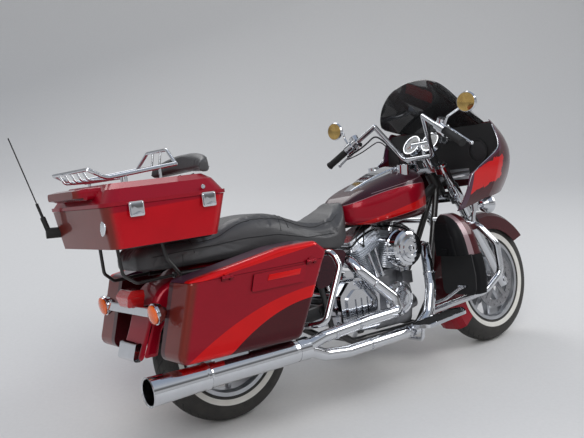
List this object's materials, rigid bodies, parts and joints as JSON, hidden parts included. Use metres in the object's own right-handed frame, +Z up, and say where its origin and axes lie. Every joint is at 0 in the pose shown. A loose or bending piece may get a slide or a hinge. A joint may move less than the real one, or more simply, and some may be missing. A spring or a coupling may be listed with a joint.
{
  "type": "touring motorcycle",
  "caption": "Touring cruiser motorcycle on its side stand, with nose fairing, smoked screen, leg shields, panniers, top box with rack and backrest, open V engine.",
  "frame": {"origin": "centre of the bounding box's bottom face, on the floor under the tyres", "axes": "+X forward, +Y to the rider's left, +Z up; the bike leans 11.1 degrees to its left, onto its side stand, with the bars 5 degrees to the left"},
  "size_m": [2.6286, 1.0811, 1.385],
  "materials": {
    "black_metal": "gloss black powder coat",
    "chrome": "bright chrome plate",
    "cast_silver": "cast and polished alloy",
    "steel": "ground steel",
    "rubber": "moulded black rubber",
    "tyre": "black tyre with a white side band",
    "leather": "black stitched leather",
    "paint_red": "clear-coated candy red",
    "paint_dark": "clear-coated dark burgundy",
    "black_plastic": "matt black moulding",
    "lens_red": "red lamp lens",
    "lens_clear": "clear lamp lens on a bright bowl",
    "smoke_screen": "dark smoked screen"
  },
  "bodies": {
    "chassis": {"frame_tubes": "black_metal", "swingarm": "black_metal", "rear_axle": "chrome", "rear_shocks": "black_metal", "crankcase": "cast_silver", "cylinders": "cast_silver", "pushrod_tubes": "chrome", "air_cleaner": "chrome", "transmission_case": "chrome", "primary_cover": "chrome", "drive_belt": "rubber", "exhaust_pipes": "chrome", "muffler": "chrome", "fuel_tank": "paint_red", "tank_console": "chrome", "seat": "leather", "side_covers": "paint_red", "saddlebags": "paint_red", "bag_guards": "chrome", "top_case": "paint_red", "case_carrier": "chrome", "antenna": "black_plastic", "rear_fender": "paint_red", "rear_brightwork": "chrome", "tail_lamp": "lens_red", "fairing_shell": "paint_dark", "headlamps": "lens_clear", "windshield": "smoke_screen", "instrument_panel": "black_plastic", "lower_fairings": "paint_dark", "engine_guard": "chrome", "floorboards": "rubber", "horn": "chrome"},
    "front_end": {"fork": "chrome", "front_axle": "chrome", "front_calipers": "cast_silver", "front_fender": "paint_dark", "handlebar": "chrome", "grips": "rubber", "hand_controls": "chrome", "mirrors": "chrome", "gauge_pod": "chrome"},
    "front_wheel_set": {"front_tyre": "tyre", "front_wheel": "cast_silver", "front_discs": "steel"},
    "rear_wheel_set": {"rear_tyre": "tyre", "rear_wheel": "cast_silver", "rear_disc": "steel", "rear_pulley": "black_metal"},
    "case_lid_set": {"case_lid": "paint_red", "luggage_rack": "chrome", "backrest": "leather"},
    "right_bag_lid": {"bag_lid_right": "paint_red"},
    "left_bag_lid": {"bag_lid_left": "paint_red"},
    "stand": {"side_stand": "chrome"}
  },
  "joints": [
    {"name": "steering", "type": "hinge", "parent": "chassis", "child": "front_end", "pos_m": [0.99315, -0.12238, 0.31535], "axis": [-0.4373, 0.173, 0.8825], "range_deg": [-35, 25]},
    {"name": "front_wheel_spin", "type": "hinge", "parent": "front_end", "child": "front_wheel_set", "pos_m": [0.99315, -0.12238, 0.31535], "axis": [-0.0786, 0.9702, -0.2292], "continuous": true},
    {"name": "rear_wheel_spin", "type": "hinge", "parent": "chassis", "child": "rear_wheel_set", "pos_m": [-0.61885, -0.12238, 0.31732], "axis": [-0.0002, 0.9813, -0.1925], "continuous": true},
    {"name": "bag_lid_right_hinge", "type": "hinge", "parent": "chassis", "child": "right_bag_lid", "pos_m": [-0.61836, -0.44966, 0.72165], "axis": [1, 0, -0.0012], "range_deg": [0, 95]},
    {"name": "bag_lid_left_hinge", "type": "hinge", "parent": "chassis", "child": "left_bag_lid", "pos_m": [-0.61854, 0.33341, 0.56801], "axis": [-1, 0, 0.0012], "range_deg": [0, 95]},
    {"name": "case_lid_hinge", "type": "hinge", "parent": "chassis", "child": "case_lid_set", "pos_m": [-0.91814, 0.31163, 0.89366], "axis": [-1, 0, 0.0012], "range_deg": [0, 85]},
    {"name": "stand_pivot", "type": "hinge", "parent": "chassis", "child": "stand", "pos_m": [0.26095, 0.02607, 0.15872], "axis": [0, 0.841, 0.541], "range_deg": [0, 90]}
  ]
}
